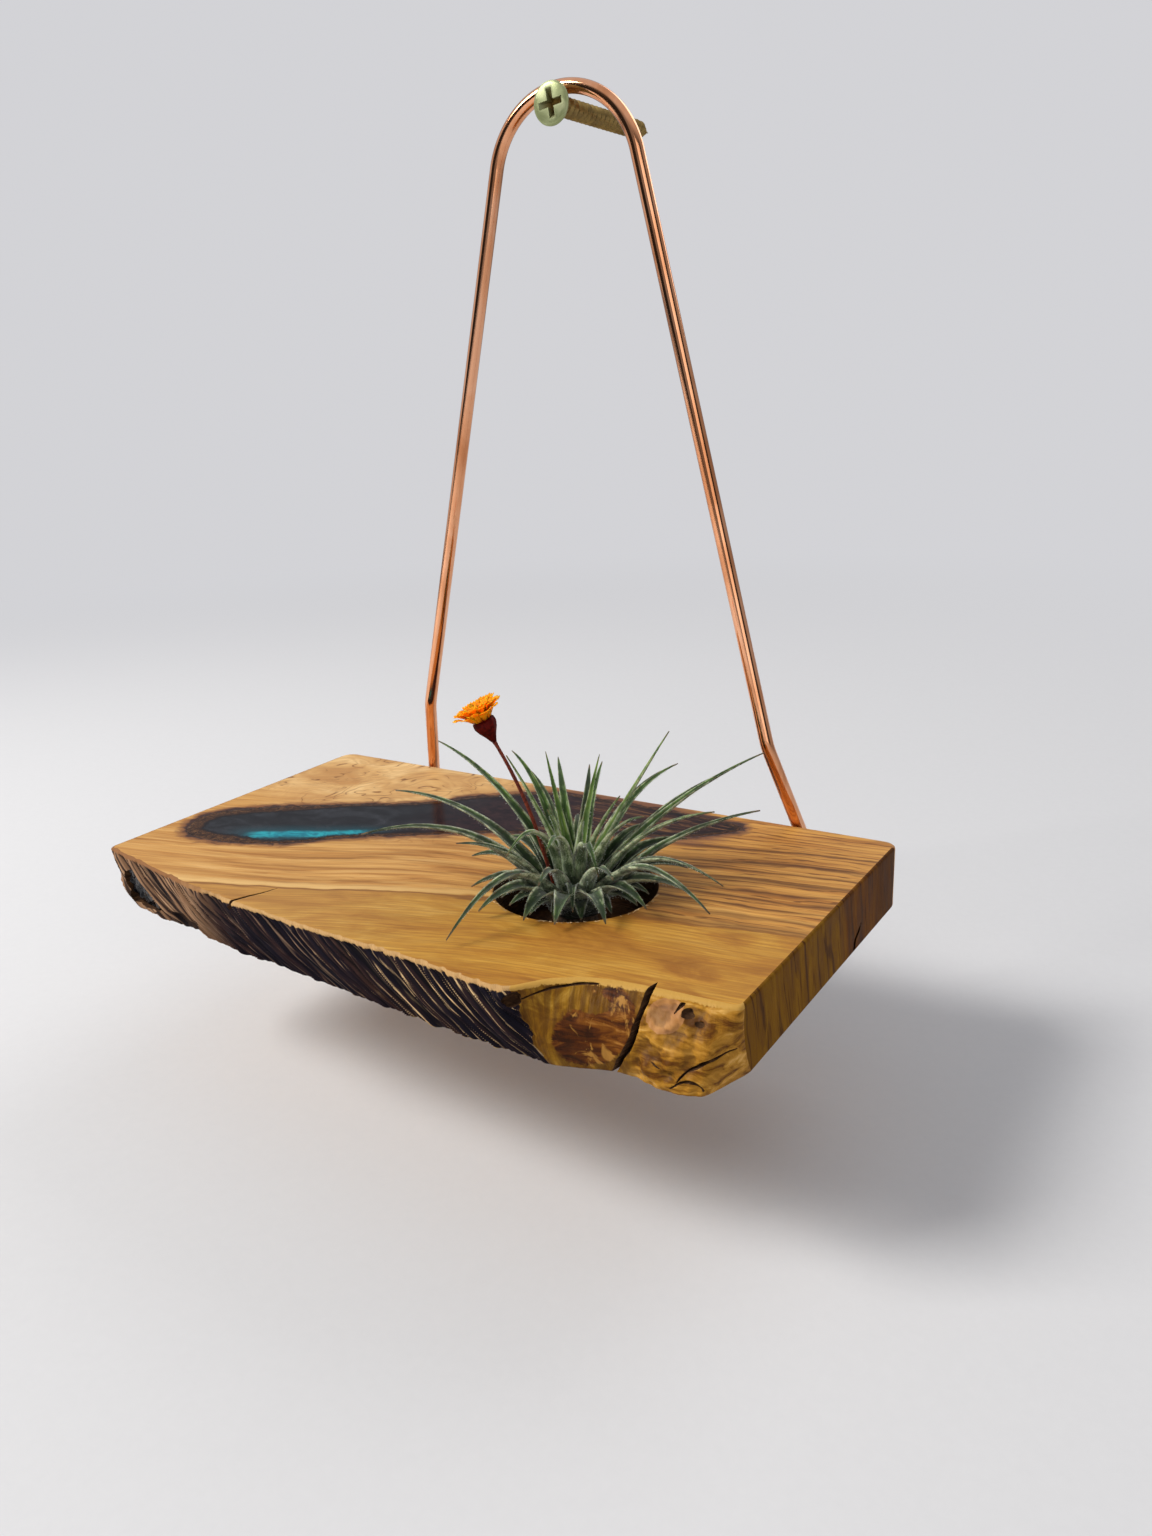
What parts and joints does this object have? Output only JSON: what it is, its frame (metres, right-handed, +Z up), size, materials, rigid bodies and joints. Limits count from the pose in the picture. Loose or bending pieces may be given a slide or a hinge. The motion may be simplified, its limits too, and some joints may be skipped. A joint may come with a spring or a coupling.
{
  "type": "air plant holder",
  "caption": "Live edge wooden shelf with a resin inlay and a drilled well for an air plant, hung from a wall screw by a bent copper rod.",
  "frame": {"origin": "the screw's axis at the wall's surface", "axes": "+X to the right along the wall, +Y into the wall along the screw, +Z up"},
  "size_m": [0.167, 0.1357, 0.1813],
  "materials": {
    "plated_screw": "yellow-green plated steel, slightly worn",
    "olive_wood": "oiled olive wood, dark figure, bark on the front edge",
    "blue_resin": "polished smoky blue-green casting resin",
    "black_resin": "glossy black casting resin",
    "copper": "bright drawn copper",
    "woody_stem": "dry trimmed plant stem",
    "outer_leaf": "grey-green leaf with silvery scales",
    "middle_leaf": "green leaf with silvery scales",
    "heart_leaf": "fresh green leaf",
    "flower_stalk": "thin dark red stem",
    "flower_cup": "dark red bracts",
    "petal": "soft orange petals"
  },
  "bodies": {
    "wall_fixing": {"wall_screw": "plated_screw"},
    "holder": {"slab": "olive_wood", "river_resin": "blue_resin", "corner_resin": "black_resin", "hanger": "copper"},
    "plant": {"plant_foot": "woody_stem", "outer_leaves": "outer_leaf", "middle_leaves": "middle_leaf", "heart_leaves": "heart_leaf"},
    "flower": {"flower_stem": "flower_stalk", "flower_cup": "flower_cup", "flower_petals": "petal"}
  },
  "joints": [
    {"name": "swing", "type": "hinge", "parent": "wall_fixing", "child": "holder", "pos_m": [0, 0, 0], "axis": [0, 1, 0], "range_deg": [-20, 20]},
    {"name": "plant_lift", "type": "slide", "parent": "holder", "child": "plant", "axis": [0, 0, 1], "range_m": [0, 0.06]},
    {"name": "flower_pull", "type": "slide", "parent": "plant", "child": "flower", "axis": [-0.1957, -0.1422, 0.9703], "range_m": [0, 0.02]}
  ]
}
